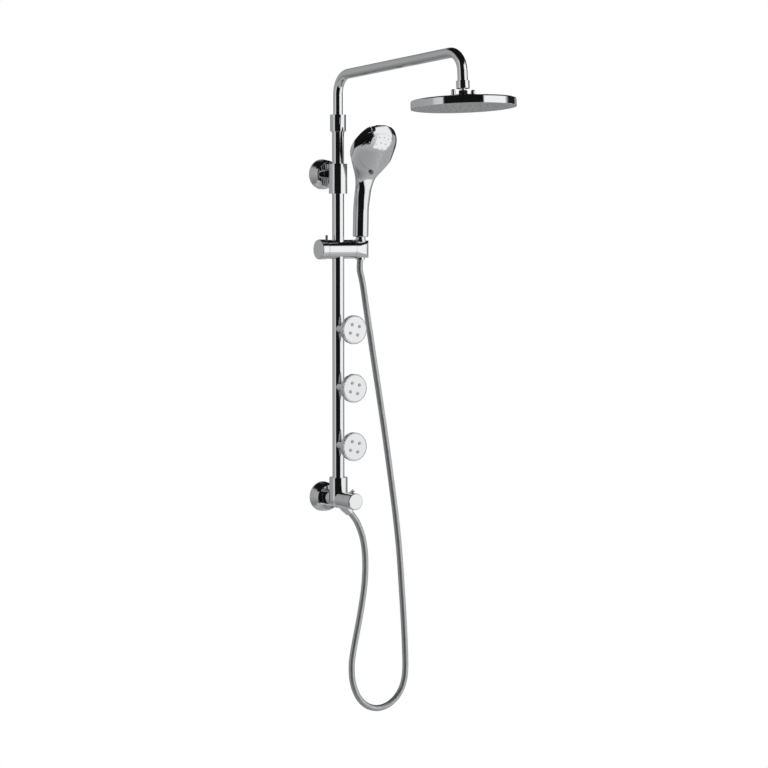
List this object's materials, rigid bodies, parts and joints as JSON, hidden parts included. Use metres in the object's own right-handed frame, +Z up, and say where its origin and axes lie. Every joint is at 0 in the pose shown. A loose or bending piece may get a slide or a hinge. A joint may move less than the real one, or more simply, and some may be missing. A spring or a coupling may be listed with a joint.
{
  "type": "shower system",
  "caption": "Wall-mounted riser with an overhead rain head on a swinging arm, body jets, a diverter, and a hand shower on a hose in a sliding holder.",
  "frame": {"origin": "centre of the lower water inlet's mouth, on the wall plane", "axes": "+X to the right when facing the wall, +Y into the wall, +Z up along the riser"},
  "size_m": [0.2665, 0.6123, 1.3646],
  "materials": {
    "chrome": "polished chrome plate",
    "chromed_plastic": "chrome-plated plastic, mirror bright",
    "steel": "plain stainless steel",
    "brass": "machined brass",
    "ceramic": "lapped white ceramic",
    "white_plastic": "moulded, low friction",
    "grey_plastic": "satin grey",
    "dark_plastic": "satin dark grey",
    "nozzle_rubber": "soft grey silicone",
    "black_rubber": "black rubber",
    "hose_metal": "bright metal hose"
  },
  "bodies": {
    "riser_frame": {"riser_tube": "chrome", "seal_rings": "black_rubber", "valve_body": "chrome", "lower_flange": "chrome", "upper_flange": "chrome", "wall_plate": "steel", "upper_bracket": "chrome", "grub_screws": "steel", "arm_sleeve": "chrome", "jet_stubs": "chrome", "diverter_cartridge": "white_plastic", "ceramic_disc_fixed": "ceramic", "cartridge_nut": "brass", "hose_nut_low": "chrome", "hose_loop": "hose_metal", "hose_rise": "hose_metal"},
    "diverter_knob": {"diverter_handle": "chrome", "diverter_lever": "chrome", "diverter_spindle": "brass", "ceramic_disc_moving": "ceramic"},
    "arm": {"overhead_arm": "chrome", "swivel_nut": "chrome"},
    "arm_ball_seat": {"ball_seat": "white_plastic"},
    "rain_ball": {"swivel_ball": "chrome"},
    "rain_head": {"rain_head_body": "chrome", "rain_head_face": "grey_plastic", "rain_nozzle_mat": "nozzle_rubber", "rain_cap_screws": "chrome"},
    "slider": {"slider_body": "chrome", "slider_bush": "white_plastic", "brake_pad": "black_rubber", "release_spring": "steel", "hose_bend": "hose_metal"},
    "clamp_knob": {"slider_knob": "chrome", "clamp_screw": "steel"},
    "slider_button": {"release_button": "dark_plastic"},
    "holder": {"holder_cup": "chrome", "tilt_screw": "steel", "hose_top": "hose_metal"},
    "hose_end": {"hose_swivel": "chrome"},
    "handset": {"cone_nut": "chrome", "handset_waterway": "white_plastic", "handset_handle": "chromed_plastic", "handset_head": "chromed_plastic", "handset_face": "chromed_plastic", "handset_nozzles": "nozzle_rubber", "spray_spring": "steel"},
    "spray_selector": {"spray_button": "dark_plastic"},
    "jet_low_swivel": {"jet_low_seat": "white_plastic"},
    "jet_low": {"jet_low_housing": "chrome", "jet_low_face": "chromed_plastic", "jet_low_nozzles": "nozzle_rubber"},
    "jet_mid_swivel": {"jet_mid_seat": "white_plastic"},
    "jet_mid": {"jet_mid_housing": "chrome", "jet_mid_face": "chromed_plastic", "jet_mid_nozzles": "nozzle_rubber"},
    "jet_top_swivel": {"jet_top_seat": "white_plastic"},
    "jet_top": {"jet_top_housing": "chrome", "jet_top_face": "chromed_plastic", "jet_top_nozzles": "nozzle_rubber"}
  },
  "joints": [
    {"name": "diverter_turn", "type": "hinge", "parent": "riser_frame", "child": "diverter_knob", "pos_m": [0, -0.114, 0], "axis": [0, -1, 0], "range_deg": [-60, 60]},
    {"name": "arm_swivel", "type": "hinge", "parent": "riser_frame", "child": "arm", "pos_m": [0, -0.064, 0.79], "axis": [0, 0, -1], "range_deg": [-45, 45]},
    {"name": "rain_head_tilt", "type": "hinge", "parent": "arm", "child": "arm_ball_seat", "pos_m": [0, -0.50832, 0.83619], "axis": [1, 0, 0], "range_deg": [-12, 12]},
    {"name": "rain_head_roll", "type": "hinge", "parent": "arm_ball_seat", "child": "rain_ball", "pos_m": [0, -0.50832, 0.83619], "axis": [0, 0.9979, -0.0645], "range_deg": [-12, 12]},
    {"name": "rain_head_spin", "type": "hinge", "parent": "rain_ball", "child": "rain_head", "pos_m": [0, -0.50832, 0.83619], "axis": [0, 0.0645, 0.9979], "continuous": true},
    {"name": "slider_slide", "type": "slide", "parent": "riser_frame", "child": "slider", "axis": [0, 0, 1], "range_m": [-0.11, 0.045], "deforming": ["hose_rise"]},
    {"name": "clamp_turn", "type": "hinge", "parent": "slider", "child": "clamp_knob", "pos_m": [-0.04, -0.064, 0.5185], "axis": [-1, 0, 0], "range_deg": [-90, 90]},
    {"name": "release_press", "type": "slide", "parent": "slider", "child": "slider_button", "axis": [0, 0, -1], "range_m": [0, 0.0025], "stiffness_N_per_m": 400, "springref_m": -0.001, "deforming": ["release_spring"]},
    {"name": "holder_tilt", "type": "hinge", "parent": "slider", "child": "holder", "pos_m": [0.034, -0.064, 0.5185], "axis": [1, 0, 0], "range_deg": [0, 30], "deforming": ["hose_bend"]},
    {"name": "handset_lift", "type": "slide", "parent": "holder", "child": "hose_end", "axis": [0, -0.0349, 0.9994], "range_m": [0, 0.04], "deforming": ["hose_top"]},
    {"name": "handset_turn", "type": "hinge", "parent": "hose_end", "child": "handset", "pos_m": [0.0545, -0.064, 0.5185], "axis": [0, -0.0349, 0.9994], "range_deg": [-15, 90]},
    {"name": "spray_press", "type": "slide", "parent": "handset", "child": "spray_selector", "axis": [0, 0.8339, 0.5519], "range_m": [0, 0.0018], "stiffness_N_per_m": 500, "springref_m": -0.001, "deforming": ["spray_spring"]},
    {"name": "jet_low_tilt", "type": "hinge", "parent": "riser_frame", "child": "jet_low_swivel", "pos_m": [0, -0.11, 0.1136], "axis": [1, 0, 0], "range_deg": [-12, 12]},
    {"name": "jet_low_pan", "type": "hinge", "parent": "jet_low_swivel", "child": "jet_low", "pos_m": [0, -0.11, 0.1136], "axis": [0, 0, 1], "range_deg": [-12, 12]},
    {"name": "jet_mid_tilt", "type": "hinge", "parent": "riser_frame", "child": "jet_mid_swivel", "pos_m": [0, -0.11, 0.234], "axis": [1, 0, 0], "range_deg": [-12, 12]},
    {"name": "jet_mid_pan", "type": "hinge", "parent": "jet_mid_swivel", "child": "jet_mid", "pos_m": [0, -0.11, 0.234], "axis": [0, 0, 1], "range_deg": [-12, 12]},
    {"name": "jet_top_tilt", "type": "hinge", "parent": "riser_frame", "child": "jet_top_swivel", "pos_m": [0, -0.11, 0.3544], "axis": [1, 0, 0], "range_deg": [-12, 12]},
    {"name": "jet_top_pan", "type": "hinge", "parent": "jet_top_swivel", "child": "jet_top", "pos_m": [0, -0.11, 0.3544], "axis": [0, 0, 1], "range_deg": [-12, 12]}
  ]
}
